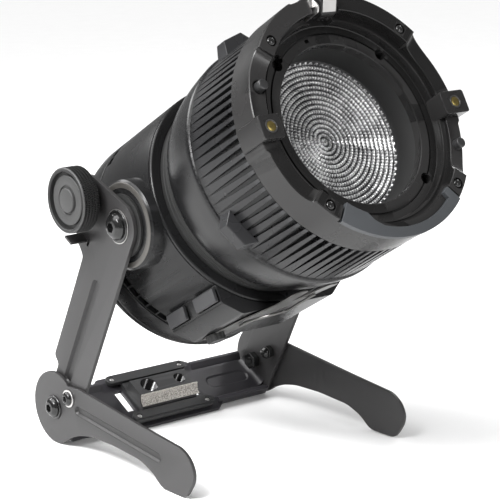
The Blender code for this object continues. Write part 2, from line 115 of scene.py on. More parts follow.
def ramp(tree, source, stops):
    node = tree.nodes.new("ShaderNodeValToRGB")
    elements = node.color_ramp.elements
    while len(elements) < len(stops):
        elements.new(0.5)
    for element, (place, value) in zip(elements, stops):
        element.position = place
        colour = value if isinstance(value, tuple) else (value, value, value)
        element.color = (*colour, 1.0)
    tree.links.new(source, node.inputs[0])
    return node.outputs["Color"]


def new_material(name):
    material = bpy.data.materials.new(name)
    material.use_nodes = True
    return material, material.node_tree, material.node_tree.nodes["Principled BSDF"]


def add_relief(tree, shader, height, strength, distance):
    relief = tree.nodes.new("ShaderNodeBump")
    relief.inputs["Strength"].default_value = strength
    relief.inputs["Distance"].default_value = distance
    tree.links.new(height, relief.inputs["Height"])
    tree.links.new(relief.outputs["Normal"], shader.inputs["Normal"])


def noise(tree, vector, scale, detail=3.0):
    node = tree.nodes.new("ShaderNodeTexNoise")
    node.inputs["Scale"].default_value = scale
    node.inputs["Detail"].default_value = detail
    tree.links.new(vector, node.inputs["Vector"])
    return node.outputs["Fac"]


def scaled(colour, factor):
    return tuple(channel * factor for channel in colour)


def finish(name, colour, rough, grain=900.0, bump=0.05, painted_edge_light=0.0, metal=0.0, gloss_level=0.5,
           spread=0.12):
    """Painted, moulded or machined surface: mottled colour, uneven gloss, a fine grain and, if
    asked, a painted highlight on sharp edges.
    """
    material, tree, shader = new_material(name)
    shader.inputs["Metallic"].default_value = metal
    shader.inputs["Specular IOR Level"].default_value = gloss_level
    where = tree.nodes.new("ShaderNodeTexCoord").outputs["Object"]
    broad = noise(tree, where, 28.0, 4.0)
    fine = noise(tree, where, grain, 2.0)
    light, dark = scaled(colour, 1 + spread), scaled(colour, 1 - spread)
    tone = ramp(tree, broad, [(0.3, dark), (0.7, light)])
    # Lighter colour on sharp edges, found by pointiness: a painted edge highlight.
    if painted_edge_light:
        geometry = tree.nodes.new("ShaderNodeNewGeometry").outputs["Pointiness"]
        edge = ramp(tree, geometry, [(0.52, 0.0), (0.58, 1.0)])
        mix = tree.nodes.new("ShaderNodeMix")
        mix.data_type = "RGBA"
        mix.inputs["B"].default_value = (*scaled(colour, 1 + painted_edge_light), 1.0)
        tree.links.new(edge, mix.inputs["Factor"])
        tree.links.new(tone, mix.inputs["A"])
        tone = mix.outputs["Result"]
    tree.links.new(tone, shader.inputs["Base Color"])
    gloss = ramp(tree, broad, [(0.25, rough * 0.97), (0.75, min(1.0, rough * 1.04))])
    tree.links.new(gloss, shader.inputs["Roughness"])
    add_relief(tree, shader, fine, bump, 0.0002)
    return material


def speckled(name, base, flake, rough):
    """Coarse grit: light and dark grains side by side."""
    material = finish(name, base, rough, grain=1400.0, bump=0.5)
    tree = material.node_tree
    shader = tree.nodes["Principled BSDF"]
    where = tree.nodes.new("ShaderNodeTexCoord").outputs["Object"]
    grains = noise(tree, where, 1500.0, 1.0)
    tone = ramp(tree, grains, [(0.38, base), (0.62, flake)])
    tree.links.new(tone, shader.inputs["Base Color"])
    return material


def lens_glass():
    """Pebbled glass over a silvered well: rings of small radial facets, with painted highlights
    along the ring crests and painted sparkle on the facets.
    """
    material, tree, shader = new_material("lens_glass")
    shader.inputs["Metallic"].default_value = 0.4
    shader.inputs["Coat Weight"].default_value = 0.6
    shader.inputs["Coat Roughness"].default_value = 0.05
    where = tree.nodes.new("ShaderNodeTexCoord").outputs["Object"]
    split = tree.nodes.new("ShaderNodeSeparateXYZ")
    tree.links.new(where, split.inputs[0])

    def maths(kind, a, b=None):
        node = tree.nodes.new("ShaderNodeMath")
        node.operation = kind
        for socket, value in zip(node.inputs, (a, b)):
            if isinstance(value, (int, float)):
                socket.default_value = value
            elif value is not None:
                tree.links.new(value, socket)
        return node.outputs[0]

    x, y = split.outputs["X"], split.outputs["Y"]
    radius = maths("SQRT", maths("ADD", maths("MULTIPLY", x, x), maths("MULTIPLY", y, y)))
    angle = maths("ARCTAN2", y, x)
    pitch = RING_PITCH * MM
    turns = maths("DIVIDE", radius, pitch)
    band = maths("FLOOR", turns)
    within = maths("FRACT", turns)
    count = maths("MULTIPLY", maths("ADD", band, 2.0), 8.0)
    offset = maths("MULTIPLY", band, 1.7)
    facets = maths("SINE", maths("ADD", maths("MULTIPLY", angle, count), offset))
    rim = maths("MINIMUM", maths("MULTIPLY", band, 0.16), 1.0)
    crest = maths("POWER", maths("SINE", maths("MULTIPLY", within, math.pi)), 0.6)
    mottle = noise(tree, where, 850.0, 2.0)
    patches = noise(tree, where, 60.0, 3.0)
    pebble = maths("MULTIPLY", maths("ADD", facets, 1.0), maths("MULTIPLY", crest, 0.5))
    height = maths("ADD", pebble, maths("MULTIPLY", mottle, 0.9))
    # Painted sparkle on the facets, stronger on the outer rings, and painted highlights along each
    # ring's crest go into the base colour; mottle and patches add random tone.
    painted_sparkle = maths("MULTIPLY", maths("MULTIPLY", facets, rim), 0.13)
    light = maths("MULTIPLY", crest, maths("ADD", painted_sparkle, mottle))
    light = maths("ADD", light, maths("MULTIPLY", maths("SUBTRACT", patches, 0.5), 0.5))
    tone = ramp(tree, light, [(0.12, (0.02, 0.02, 0.022)), (0.36, (0.24, 0.24, 0.245)),
                              (0.58, (1.0, 1.0, 1.0))])
    tree.links.new(tone, shader.inputs["Base Color"])
    rough = ramp(tree, mottle, [(0.3, 0.10), (0.7, 0.26)])
    tree.links.new(rough, shader.inputs["Roughness"])
    add_relief(tree, shader, height, 1.0, 0.0007)
    return material


# name: (CAD slot, colour, roughness, grain, bump, painted edge highlight, metal, gloss level)
FINISHES = {
    "housing": ("housing_black", (0.008, 0.008, 0.0083), 0.27, 1500, 0.05, 1.2, 0.0, 0.24),
    "bezel": ("housing_black", (0.008, 0.0078, 0.0078), 0.27, 1500, 0.06, 1.5, 0.0, 0.25),
    "ring": ("ring_black", (0.007, 0.007, 0.0074), 0.27, 1500, 0.08, 3.0, 0.0, 0.25),
    "steel": ("steel_grey", (0.015, 0.0145, 0.0148), 0.42, 2200, 0.35, 2.0, 0.0, 0.42),
    "bar": ("steel_grey", (0.017, 0.016, 0.0185), 0.38, 2200, 0.2, 0.8),
    "rail": ("housing_black", (0.012, 0.012, 0.0125), 0.45, 1800, 0.12, 1.5),
    "slate": ("steel_grey", (0.040, 0.043, 0.047), 0.46, 2400, 0.2),
    # disc: lighter grey for the band on the bearing discs' faces, a painted highlight
    "disc": ("disc_grey", (0.085, 0.081, 0.075), 0.34, 1200, 0.05, 0.0, 0.5),
    "fastener": ("fastener_black", (0.008, 0.008, 0.008), 0.16, 800, 0.02),
    "matt": ("matt_black", (0.006, 0.006, 0.006), 0.70, 1200, 0.1),
    "rubber": ("rubber", (0.008, 0.008, 0.008), 0.55, 1600, 0.3),
    "knob_face": ("rubber", (0.030, 0.030, 0.030), 0.5, 2600, 0.35, 0.8),
    "gold": ("gold", (0.20, 0.155, 0.05), 0.34, 900, 0.05, 0.0, 0.9),
    "bright": ("bare_aluminium", (0.50, 0.49, 0.48), 0.32, 900, 0.05, 0.0, 0.9),
    "clip": ("bare_aluminium", (0.10, 0.098, 0.095), 0.3, 900, 0.05, 0.0, 0.8),
    "pad": ("rubber", (0.012, 0.012, 0.013), 0.42, 1500, 0.15, 1.0),
    "board": (None, (0.015, 0.09, 0.04), 0.4, 600, 0.1),
    "led": (None, (0.75, 0.62, 0.12), 0.45, 500, 0.1),
    "battery": (None, (0.05, 0.05, 0.06), 0.5, 500, 0.1),
    "screen": ("display", (0.006, 0.010, 0.014), 0.08, 300, 0.0),
    "legend": ("bare_aluminium", (0.35, 0.35, 0.35), 0.6, 900, 0.0),
}
M = {name: finish(name, *values[1:]) for name, values in FINISHES.items()}
M["grip"] = speckled("grip", (0.14, 0.13, 0.12), (0.62, 0.59, 0.54), 0.7)
M["lens"] = lens_glass()
SLOTS = {name: values[0] for name, values in FINISHES.items()}
SLOTS.update(grip="grip_grey", lens="glass")


# ---------------------------------------------------------------- mesh helpers

def add(name, data):
    """A new object in the scene."""
    item = bpy.data.objects.new(name, data)
    bpy.context.scene.collection.objects.link(item)
    return item


def circle(radius, height, steps):
    return [polar(radius, 360 * j / steps, height) for j in range(steps)]


def walls(count, start=0):
    """Faces between two outlines of count points each, the first at index start."""
    return [(start + i, start + (i + 1) % count, start + (i + 1) % count + count,
             start + i + count) for i in range(count)]


def make(name, points, faces, matrix, body=None, material=None, sharp=32, bevel=0.0, slot=None,
         node=None):
    """A mesh piece from points in millimetres of its frame; with no body it is a tool."""
    mesh = bpy.data.meshes.new(name)
    mesh.from_pydata([Vector(p) * MM for p in points], [], faces)
    data = bmesh.new()
    data.from_mesh(mesh)
    bmesh.ops.remove_doubles(data, verts=data.verts, dist=1e-6)
    bmesh.ops.recalc_face_normals(data, faces=data.faces)
    data.to_mesh(mesh)
    data.free()
    item = add(name, mesh)
    item.matrix_world = matrix
    if body:
        dress(item, body, material, sharp, bevel, node)
    return item


def dress(item, body, material, sharp=32, bevel=0.0, node=None):
    """Give a piece its finish, soft edges and body, and hide the CAD node it stands for."""
    item.data.materials.clear()
    item.data.materials.append(M[material])
    if bevel:
        modifier = item.modifiers.new("edges", "BEVEL")
        modifier.width = bevel * MM
        modifier.segments = 2
        modifier.limit_method = "ANGLE"
        modifier.angle_limit = math.radians(40)
        modifier.harden_normals = True
    item.data.shade_smooth()
    item.data.set_sharp_from_angle(angle=math.radians(sharp))
    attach(item, body)
    if node:
        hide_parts(node)
    return item


def soften(points, radius, closed=True, count=3):
    """Round the corners of an outline or a profile."""
    result = []
    total = len(points)
    for i, point in enumerate(points):
        if not closed and i in (0, total - 1):
            result.append(point)
            continue
        here = Vector(point)
        before = Vector(points[i - 1]) - here
        after = Vector(points[(i + 1) % total]) - here
        if before.length < 1e-6 or after.length < 1e-6:
            result.append(point)
            continue
        cut = min(radius, before.length * 0.45, after.length * 0.45)
        first = here + before.normalized() * cut
        last = here + after.normalized() * cut
        for k in range(count + 1):
            t = k / count
            mixed = first * (1 - t) ** 2 + here * 2 * t * (1 - t) + last * t * t
            result.append(tuple(mixed))
    return result


def arc(centre_x, centre_y, radius, start, end, count):
    """Points from the start angle to the end angle, both included."""
    points = [polar(radius, start + (end - start) * i / count, 0) for i in range(count + 1)]
    return [(centre_x + x, centre_y + y) for x, y, _ in points]


def polar(radius, angle, height):
    a = math.radians(angle)
    return (radius * math.cos(a), radius * math.sin(a), height)


def flat_polar(radius, angle):
    return polar(radius, angle, 0)[:2]


def grid(rows, wrap_rows=False, wrap_columns=True):
    """Points and faces of rows of equal length, joined to their neighbours."""
    width = len(rows[0])
    points = [p for row in rows for p in row]
    faces = []
    last_row = len(rows) if wrap_rows else len(rows) - 1
    last_column = width if wrap_columns else width - 1
    for i in range(last_row):
        for j in range(last_column):
            a, b = i * width, ((i + 1) % len(rows)) * width
            k = (j + 1) % width
            faces.append((a + j, a + k, b + k, b + j))
    return points, faces


def turned(name, profile, matrix, body=None, material=None, steps=ROUND, soft=0.4, **looks):
    """Turn (radius, height) points about z; the profile is a loop unless an end is on the axis."""
    closed = profile[0][0] > 0 and profile[-1][0] > 0
    if soft:
        profile = soften(profile, soft, closed, 2)
    rows = [circle(r, z, steps) for r, z in profile]
    points, faces = grid(rows, wrap_rows=closed)
    return make(name, points, faces, matrix, body, material, **looks)


def plate(name, outline, low, high, matrix, body=None, material=None, bevel=0.4, **looks):
    """A flat outline, thick from low to high along its own z."""
    count = len(outline)
    points = [(x, y, low) for x, y in outline] + [(x, y, high) for x, y in outline]
    faces = [tuple(range(count))[::-1], tuple(range(count, 2 * count))]
    faces += walls(count)
    return make(name, points, faces, matrix, body, material, bevel=bevel, **looks)


def box(name, low, high, matrix, body=None, material=None, bevel=0.5, **looks):
    outline = [(low[0], low[1]), (high[0], low[1]), (high[0], high[1]), (low[0], high[1])]
    return plate(name, outline, low[2], high[2], matrix, body, material, bevel, **looks)


def cylinder(name, radius, low, high, matrix, steps=32):
    """A plain tool for cutting."""
    return turned(name, [(0, low), (radius, low), (radius, high), (0, high)], matrix, steps=steps,
                  soft=0)


def frustum(name, base, top, matrix, body, material, bevel=0.6, **looks):
    """A block between two outlines of equal length, given as 3-D points."""
    count = len(base)
    faces = [tuple(range(count)), tuple(range(count, 2 * count))]
    faces += walls(count)
    return make(name, base + top, faces, matrix, body, material, bevel=bevel, **looks)


def combine(item, tools, operation="DIFFERENCE"):
    """Cut or join once and for all, and drop the tools."""
    for tool in tools:
        modifier = item.modifiers.new("tool", "BOOLEAN")
        modifier.operation = operation
        modifier.object = tool
        modifier.solver = "EXACT"
    bpy.context.view_layer.update()
    graph = bpy.context.evaluated_depsgraph_get()
    mesh = bpy.data.meshes.new_from_object(item.evaluated_get(graph))
    item.modifiers.clear()
    item.data = mesh
    for tool in tools:
        bpy.data.objects.remove(tool)
    return item


def wire(name, points, radius, matrix, body, material):
    """A bent round wire through the points."""
    curve = bpy.data.curves.new(name, "CURVE")
    curve.dimensions = "3D"
    curve.bevel_depth = radius * MM
    curve.bevel_resolution = 3
    curve.use_fill_caps = True
    spline = curve.splines.new("BEZIER")
    spline.bezier_points.add(len(points) - 1)
    for knot, point in zip(spline.bezier_points, points):
        knot.co = Vector(point) * MM
        knot.handle_left_type = knot.handle_right_type = "AUTO"
    drawn = add(name + "_path", curve)
    graph = bpy.context.evaluated_depsgraph_get()
    mesh = bpy.data.meshes.new_from_object(drawn.evaluated_get(graph))
    bpy.data.objects.remove(drawn)
    item = add(name, mesh)
    item.matrix_world = matrix
    return dress(item, body, material)


def along_x(sign, frame_matrix, y=0.0, z=0.0):
    """Frame matrix whose z points out along X on the given side."""
    return frame_matrix @ shift(y=y, z=z) @ turn(90 * sign, "Y")


SIDES = (("left", -1), ("right", 1))


# ---------------------------------------------------------------- fasteners

def button_bolt(name, matrix, seat, radius, end, body, node, socket=0.42, steps=48):
    """Button-head screw with a hexagon socket and a shank."""
    inner = radius * socket
    top = seat + 0.55 * radius
    profile = [
        (0, top - 0.35 * radius), (inner, top - 0.35 * radius), (inner, top),
        (radius * 0.62, top - 0.03 * radius), (radius * 0.86, top - 0.2 * radius),
        (radius, seat + 0.12 * radius), (radius, seat), (radius * 0.42, seat),
        (radius * 0.42, end), (0, end),
    ]
    head = turned(name, profile, matrix, body, "fastener", steps=steps, soft=0.25, node=node)
    for point in head.data.vertices:
        flat = math.hypot(point.co.x, point.co.y)
        if flat < inner * 1.02 * MM and flat > inner * 0.9 * MM and point.co.z > seat * MM:
            angle = math.atan2(point.co.y, point.co.x) % (math.pi / 3) - math.pi / 6
            scale = math.cos(math.pi / 6) / math.cos(angle)
            point.co.x *= scale
            point.co.y *= scale


def hexagon(radius):
    return [flat_polar(radius, 60 * k) for k in range(6)]


def nut(name, matrix, seat, radius, height, body, node, dome=False):
    """Chamfered hexagon nut seated on a face, seen from inside the arm."""
    plate(name, hexagon(radius), seat - height, seat, matrix, body, "fastener", bevel=0.5,
          node=node)
    if dome:
        profile = [(0, seat - height - 4.2), (radius * 0.5, seat - height - 3.6),
                   (radius * 0.78, seat - height - 1.6), (radius * 0.82, seat - height + 0.2),
                   (0, seat - height + 0.2)]
        turned(name + "_dome", profile, matrix, body, "fastener", steps=32)


# ---------------------------------------------------------------- head

def make_shell():
    """Body with its front collar, vent windows and rear seam."""
    profile = [
        (88.3, -47.0), (SHELL_R, -46.6), (SHELL_R, 30.4), (87.4, 30.6), (87.4, 31.3), (88.4, 31.5),
        (88.2, 33.2), (87.2, 34.0), (TUBE_R + 0.6, 34.4), (TUBE_R + 0.4, 28), (85.4, 28),
        (85.4, -47.0),
    ]
    shell = turned("shell_body", profile, LAMP, steps=192, soft=0.25)
    tools = []
    for centre in (-146, -34, 60, 120):
        for step in range(-2, 3):
            corners = [(80, -4.2), (95, -4.2), (95, 4.2), (80, 4.2)]
            matrix = LAMP @ turn(centre + 6.4 * step, "Z")
            tools.append(plate("vent", corners, -45.6, -39.2, matrix))
    combine(shell, tools)
    dress(shell, "head", "housing", 30, node="head_shell")
    liner = [(84.6, -46), (84.6, -30), (83, -30), (83, -46)]
    turned("vent_liner", liner, LAMP, "head", "matt", soft=0)


def make_rear():
    """Rear cover with its chamfer and grooves, and the control panel in its pocket."""
    back = COVER_BACK
    profile = [
        (0, back + 3), (80, back + 3), (85.4, back + 9), (85.4, -48.6), (88.2, -48.6),
        (SHELL_R, -49), (SHELL_R, -66.5), (87.5, -67), (87.5, -68), (SHELL_R - 0.3, -68.5),
        (87.6, -72.5), (84.5, -76.6), (80.5, back), (58, back), (57.4, back + 0.8),
        (56, back + 0.8), (55.4, back), (0, back),
    ]
    cover = turned("rear_shell", profile, LAMP, steps=192, soft=0.5)
    pocket = box("pocket", (-46, -28, -90), (46, 30, -70), LAMP)
    combine(cover, [pocket])
    dress(cover, "head", "housing", 30, 0.5, node="rear_cover")
    seam = [(87.0, -48.8), (87.0, -46.8), (85.6, -46.8), (85.6, -48.8)]
    turned("seam_gasket", seam, LAMP, "head", "matt", soft=0)
    for number, angle in enumerate((35, 145, 215, 325)):
        place = LAMP @ turn(angle, "Z") @ shift(x=68, z=back) @ turn(180, "X")
        button_bolt(f"cover_screw_{number}", place, 0.1, 3.4, -2, "head", None, steps=24)
    make_panel()


def make_panel():
    """Rear panel with its keys, display, dial and power inlet."""
    front, back = -73.5, -78.5
    outline = soften([(-45.5, -27.5), (45.5, -27.5), (45.5, 29.5), (-45.5, 29.5)], 3)
    panel = plate("panel", outline, back, front, LAMP)
    tools = []
    for x, y, radius in ((-30, -14, 4.9), (-15, -14, 4.9), (32, -14, 4.9), (24, 11, 3.4)):
        tools.append(cylinder("hole", radius, back - 2, front + 2, LAMP @ shift(x=x, y=y)))
    combine(panel, tools)
    dress(panel, "head", "matt", 30, 0.4, node="control_panel")
    for name, x in (("button_a", -30), ("button_b", -15), ("power_button", 32)):
        place = LAMP @ shift(x=x, y=-14)
        profile = [(0, -80.4), (2.2, -80.7), (3.6, -80.9), (4.4, -80.3), (4.4, front), (0, front)]
        turned(name + "_cap", profile, place, name, "rubber", steps=40, node=name)
        rim = [(5.2, back + 0.1), (6.4, back + 0.1), (6.4, back - 0.5), (5.2, back - 0.5)]
        turned(name + "_rim", rim, place, "head", "bright", steps=40)
    outline = soften([(-36, 2), (2, 2), (2, 24), (-36, 24)], 1.5)
    plate("screen", outline, back - 1.2, back - 0.2, LAMP, "head", "screen", 0.3,
          node="display_window")
    make_screen_bars(back - 1.3)
    place = LAMP @ shift(x=24, y=11)
    rows = []
    ridges = 144
    for radius, z in ((3, front), (3, back - 0.6), (9, back - 0.6), (9, back - 9.6),
                      (8.2, back - 10.8), (5.4, back - 10.4), (0.01, back - 10.2)):
        depth = 0.35 if radius > 8.5 else 0.0
        rows.append([polar(radius - depth * (j % 2), 360 * j / ridges, z) for j in range(ridges)])
    make("dial", *grid(rows), place, "menu_dial", "rubber", 40, node="menu_dial")
    box("dial_mark", (-0.5, 3, back - 11.1), (0.5, 7.6, back - 10.3), place, "menu_dial", "legend",
        0.1)
    place = LAMP @ shift(x=9, y=-15)
    profile = [(0, back - 0.2), (8.5, back - 0.2), (8.5, back - 5.2), (7.6, back - 6),
               (6, back - 6), (5.6, back - 5.4), (5.6, back - 1.8), (0, back - 1.8)]
    turned("inlet", profile, place, "head", "fastener", steps=48, node="power_inlet")
    profile = [(0, back - 5.4), (1.3, back - 5), (1.3, back - 1.6), (0, back - 1.6)]
    turned("inlet_pin", profile, place, "head", "gold", steps=20)


def make_screen_bars(depth):
    """Four plain level bars behind the display glass."""
    for i in range(4):
        low = (-33.5, 5.2 + 4.4 * i, depth - 0.15)
        high = (-33.5 + 9 + 6 * i, 6.6 + 4.4 * i, depth + 0.2)
        box(f"level_bar_{i}", low, high, LAMP, "head", "legend", 0)


def make_tube():
    """Black guide tube that the zoom ring turns on, with oil grooves."""
    profile = [(TUBE_R, 20)]
    for z in (38, 42, 46):
        profile += [(TUBE_R, z - 0.5), (TUBE_R - 0.7, z), (TUBE_R, z + 0.5)]
    profile += [(TUBE_R, RING_FRONT), (TUBE_R - 3, RING_FRONT), (TUBE_R - 3, 4), (TUBE_R, 4)]
    turned("inner_tube", profile, LAMP, "head", "matt", soft=0, node="guide_tube")


def make_zoom_ring():
    """Zoom ring: a flared back and tapered flutes that deepen towards the front."""
    pitch = 360 / FLUTES
    rows = []

    def plain_row(radius, height):
        rows.append([polar(radius, pitch * (i + share), height)
                     for i in range(FLUTES) for share in (0.0, 0.25, 0.42, 0.58, 0.75)])

    plain_row(81, RING_FRONT)
    back = [(81, 52), (81.6, 50.6), (83.2, 50.2), (84.6, 51.4), (86.2, 55), (88.0, 60), (89.8, 67),
            (91.4, 75), (92.7, 83), (93.6, 90.5), (94.0, 93.6), (93.9, 94.6), (93.5, 95.8)]
    for radius, height in back:
        plain_row(radius, height)
    count = 14
    for k in range(count + 1):
        t = k / count
        height = 96.6 + (RING_FRONT - 96.6) * t
        radius = RING_R - 0.9 * t
        half = 0.015 + 0.30 * t ** 0.75
        depth = 0.1 + 4.4 * t ** 0.85
        row = []
        for i in range(FLUTES):
            for share, down in ((0.0, 0), (0.5 - half, 0), (0.5 - half * 0.86, depth),
                                (0.5 + half * 0.86, depth), (0.5 + half, 0)):
                row.append(polar(radius - down, pitch * (i + share), height))
        rows.append(row)
    make("ring_skin", *grid(rows, wrap_rows=True), LAMP, "zoom_ring", "ring", 24, node="zoom_ring")
    for number, angle in ((1, -150), (2, 107)):
        place = LAMP @ turn(angle, "Z")
        base = [(92.4, -15.5, 97), (92.4, 15.5, 97), (92.4, 15.5, 110), (92.4, -15.5, 110)]
        base = [(r - abs(t) * 0.09, t, s) for r, t, s in base]
        top = [(101.6, -9.5, 98.5), (101.6, 9.5, 98.5), (101.6, 9.5, 108.5), (101.6, -9.5, 108.5)]
        frustum(f"finger_tab_{number}", base, top, place, "zoom_ring", "ring", 0.8,
                node=f"zoom_tab_{number}")


def face_height(angle):
    """Height of the front ring's face at an angle: two raised arcs with scooped ends."""
    away = abs((angle + 180) % 360 - 180)
    if LUG_EDGE <= away <= 180 - LUG_EDGE:
        return HIGH_FACE
    gap = LUG_EDGE - away if away < LUG_EDGE else away - (180 - LUG_EDGE)
    if gap >= SCOOP:
        return LOW_FACE
    along = 1 - gap / SCOOP
    return LOW_FACE + (HIGH_FACE - LOW_FACE) * (1 - math.sqrt(1 - along ** 2)) * 0.92


def make_bezel():
    """Fixed front ring: stepped deck, raised arcs with scooped ends, blocks and holes."""
    angles = [i * 1.5 for i in range(240)]
    edges = (LUG_EDGE, 180 - LUG_EDGE, 180 + LUG_EDGE, 360 - LUG_EDGE)
    close = {edge + step for edge in edges for step in (-0.75, -0.02, 0.02, 0.75)}
    angles = sorted(set(angles) - set(edges) | close)
    outer = [BEZEL_R - (1.8 if 190 < angle < 352 else 0.0) for angle in angles]
    tops = [face_height(angle) for angle in angles]
    rows = [[polar(edge, angle, BEZEL_BACK) for angle, edge in zip(angles, outer)]]
    for inset, drop in ((0, 0.6), (0.6, 0)):
        rows.append([polar(edge - inset, angle, top - drop)
                     for angle, edge, top in zip(angles, outer, tops)])
    for radius, drop in ((80.6, 0), (80.1, 0.5)):
        rows.append([polar(radius, angle, top - drop) for angle, top in zip(angles, tops)])
    for radius, height in (
            (80.0, 170.8), (77.6, 170.6), (77.3, 171.4), (76.3, 171.4), (76.0, 170.8),
            (75.4, 165.4), (74.9, DECK), (69.8, DECK), (69.7, DECK - 1.6), (68.4, DECK - 1.6),
            (68.3, DECK), (61.7, DECK), (BORE_R, DECK - 0.6), (BORE_R, 158), (63.5, 158),
            (63.5, BEZEL_BACK)):
        rows.append([polar(radius, angle, height) for angle in angles])
    bezel = make("front_ring", *grid(rows, wrap_rows=True), LAMP)
    tools = []
    for angle in SCREW_ANGLES:
        spin = LAMP @ turn(angle, "Z")
        tools.append(cylinder("hole", 4.3, DECK - 8, DECK + 3, spin @ shift(x=69)))
        tools.append(cylinder("bore", 4.2, HIGH_FACE - 2.2, HIGH_FACE + 3, spin @ shift(x=SCREW_R)))
    tools.append(cylinder("bean", 3.4, DECK - 8, DECK + 3, LAMP @ turn(130.5, "Z") @ shift(x=70.2)))
    tools.append(cylinder("peg_bore", 5.3, LOW_FACE - 2.5, LOW_FACE + 4,
                          LAMP @ turn(159, "Z") @ shift(x=85.6)))
    spin = LAMP @ turn(103, "Z")
    tools.append(box("slot", (65, -1.8, DECK - 6), (67.6, 1.8, DECK + 3), spin))
    tools.append(box("latch_gap", (-13.5, 75, 166), (9.5, 99, 190), LAMP))
    tools.append(box("latch_hole", (-15.5, 75, 168), (-10, 82.5, 190), LAMP))
    notch = [flat_polar(96.5, 113), flat_polar(96.5, 101), flat_polar(91.6, 101),
             flat_polar(92.3, 110.5)]
    tools.append(plate("rim_notch", notch, 171, 185, LAMP))
    recess = arc(0, 0, 99, -128.5, -50.5, 24) + arc(0, 0, 74, -50.5, -128.5, 24)
    tools.append(plate("plate_seat", recess, 178.0, 185, LAMP))
    for angle in (180, 0):
        outline = soften([(78, -9.8), (99, -9.8), (99, 9.8), (78, 9.8)], 0.1)
        tools.append(plate("block_slot", outline, LOW_FACE - 0.6, LOW_FACE + 6,
                           LAMP @ turn(angle, "Z")))
    combine(bezel, tools)
    dress(bezel, "head", "bezel", 28, 0.35)
    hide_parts("bezel_ring", "front_deck")
    make_bezel_fittings()


def make_bezel_fittings():
    """Screws, contact blocks, pegs and the retaining plate on the front ring."""
    for number, angle in enumerate(SCREW_ANGLES):
        place = LAMP @ turn(angle, "Z") @ shift(x=SCREW_R)
        top = HIGH_FACE + 0.9
        profile = [(0, top), (1.5, top - 0.15), (2.8, top - 0.9), (3.5, top - 2.1), (3.5, top - 4),
                   (0, top - 4)]
        turned(f"dome_screw_{number}", profile, place, "head", "fastener", steps=32)
    for name, angle, radius in (("left", 180, 95.6), ("right", 0, 98.4)):
        place = LAMP @ turn(angle, "Z")
        inner = 77.5 if name == "left" else 75.0
        outline = soften([(inner, -8.8), (radius, -8.8), (radius, 8.8), (inner, 8.8)], 2.2)
        low = BEZEL_BACK + 2 if name == "left" else 165.5
        top = HIGH_FACE + (0 if name == "left" else 0.8)
        plate("contact_block_" + name, outline, low, top, place, "head", "bezel", 0.5)
        spot = place @ shift(x=87)
        profile = [(4.9, top - 0.3), (4.9, top + 0.55), (4.1, top + 0.6), (4.0, top + 0.2),
                   (0, top + 0.2), (0, top - 0.3)]
        turned("contact_rim_" + name, profile, spot, "head", "clip", steps=40, soft=0.15)
        profile = [(0, top + 0.75), (2.2, top + 0.7), (3.7, top + 0.3), (3.7, top), (0, top)]
        pad = turned("contact_pad_" + name, profile, spot, steps=40, soft=0.15)
        tools = [box("mark", (-2.6, -0.35, top + 0.4), (2.6, 0.35, top + 2), spot @ turn(20, "Z"))]
        combine(pad, tools)
        dress(pad, "head", "gold", node="contact_" + name)
    for name, angle in (("left", 159), ("right", -21)):
        place = LAMP @ turn(angle, "Z") @ shift(x=85.6)
        top = LOW_FACE + 6.2
        profile = [(0, top), (3.3, top), (3.9, top - 0.6), (3.9, LOW_FACE - 3), (0, LOW_FACE - 3)]
        turned("peg_" + name, profile, place, "head", "rail", steps=40, slot="fastener_black",
               node="guide_peg_" + name)
    inner = [(-56, 79), (-56.2, 84.5), (-66, 85), (-90, 85), (-104, 84), (-110, 81), (-114, 77.2),
             (-127.5, 76.6)]
    outline = arc(0, 0, 92.4, -127.5, -51.5, 30) + [flat_polar(79, -51.5)]
    outline += [flat_polar(radius, angle) for angle, radius in spread_out(inner)]
    plate("retainer", outline, 178.1, HIGH_FACE + 0.3, LAMP, "head", "slate", 0.3,
          node="retaining_plate")


def spread_out(stops, step=3.0):
    """(angle, radius) points every few degrees between the given ones."""
    result = []
    for (angle, radius), (next_angle, next_radius) in zip(stops, stops[1:]):
        count = max(1, int(abs(next_angle - angle) / step))
        for i in range(count):
            t = i / count
            result.append((angle + (next_angle - angle) * t, radius + (next_radius - radius) * t))
    return result + [stops[-1]]


def make_latch():
    """Latch at the top of the front ring, its spring bracket and hinge barrel."""
    section = [(76, 172), (76, 179.5), (78, 182.6), (86.6, 188.4), (88.4, 187.6), (95.5, 176),
               (95.5, 171), (84, 171)]
    outline = soften(section, 1.2)
    block = plate("latch_block", outline, -9.2, 6.4, LAMP @ SIDE)
    tools = []
    for x, sign in ((-9.2, 1), (6.4, -1)):
        corner = [(x - sign * 1.0, 74), (x + sign * 3.4, 74), (x - sign * 1.0, 79.5)]
        tools.append(plate("corner", corner, 165, 195, LAMP))
    combine(block, tools)
    dress(block, "latch", "bezel", 28, 0.8, node="front_latch")
    # A bright plate on the sloping face stands in for the floor reflecting there: a painted
    # reflection.
    slope = [(77.8, 183.0), (86.0, 188.6), (86.7, 187.6), (78.5, 182.0)]
    plate("latch_painted_reflection", slope, -7.6, 4.8, LAMP @ SIDE, "latch", "bright", 0.3)
    side = [(78, 167), (78, 183), (82, 186), (93, 181), (95, 173), (91, 167)]
    plate("latch_bracket", soften(side, 1.0), -12.6, -11.2, LAMP @ SIDE, "head", "bright", 0.2)
    foot = [(-16.5, 82.6), (-11.4, 82.6), (-11.4, 92), (-16.5, 89)]
    plate("latch_foot", soften(foot, 0.8), HIGH_FACE - 0.1, HIGH_FACE + 1.1, LAMP, "head",
          "bright", 0.2)
    place = LAMP @ shift(y=92.6, z=178) @ turn(90, "Y")
    barrel = [(0, -12.4), (1.7, -12.4), (1.7, -17.5), (0, -17.5)]
    turned("latch_pin", barrel, place, "head", "fastener", steps=24)


